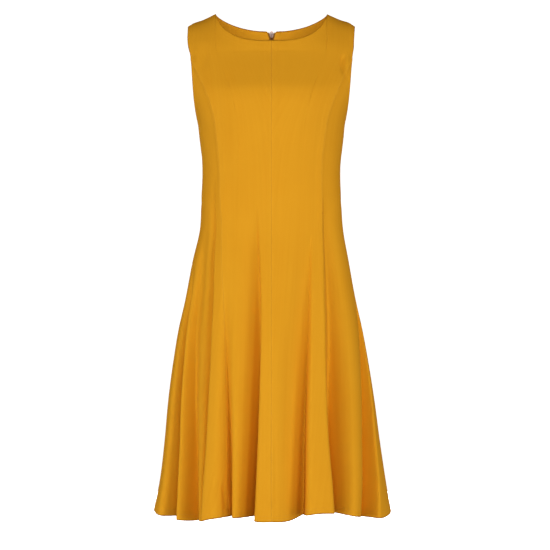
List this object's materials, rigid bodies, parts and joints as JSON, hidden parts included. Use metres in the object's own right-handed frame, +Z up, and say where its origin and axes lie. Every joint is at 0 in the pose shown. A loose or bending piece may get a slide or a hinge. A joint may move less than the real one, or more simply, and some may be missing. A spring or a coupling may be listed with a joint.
{
  "type": "sleeveless flared dress with princess seams",
  "caption": "Sleeveless fit-and-flare dress with princess seams and a centre-back zip, filled out as worn, open at neck, armholes and hem.",
  "frame": {"origin": "midway between the two shoulder straps, at the mid-height of their seams, where the wearer's shoulders hold the dress", "axes": "+Z up, front towards -Y, +X to the viewer's right when the front is seen"},
  "size_m": [0.4725, 0.3841, 1.0002],
  "materials": {
    "crepe": "matt mustard-yellow crepe",
    "zip_tape": "plain woven tape",
    "nickel": "satin nickel plate"
  },
  "bodies": {
    "dress": {"front_centre_left": "crepe", "front_centre_right": "crepe", "front_side_left": "crepe", "front_side_right": "crepe", "back_side_left": "crepe", "back_side_right": "crepe", "back_centre_left": "crepe", "back_centre_right": "crepe", "neck_facing_back_left": "crepe", "neck_facing_back_right": "crepe", "zip_tape_left": "zip_tape", "zip_tape_right": "zip_tape", "zip_slider": "nickel"},
    "pull_tab": {"zip_pull_tab": "nickel"}
  },
  "joints": [
    {"name": "pull_tab_hinge", "type": "hinge", "parent": "dress", "child": "pull_tab", "pos_m": [0, 0.0775, -0.0153], "axis": [1, 0, 0], "range_deg": [0, 150]}
  ]
}
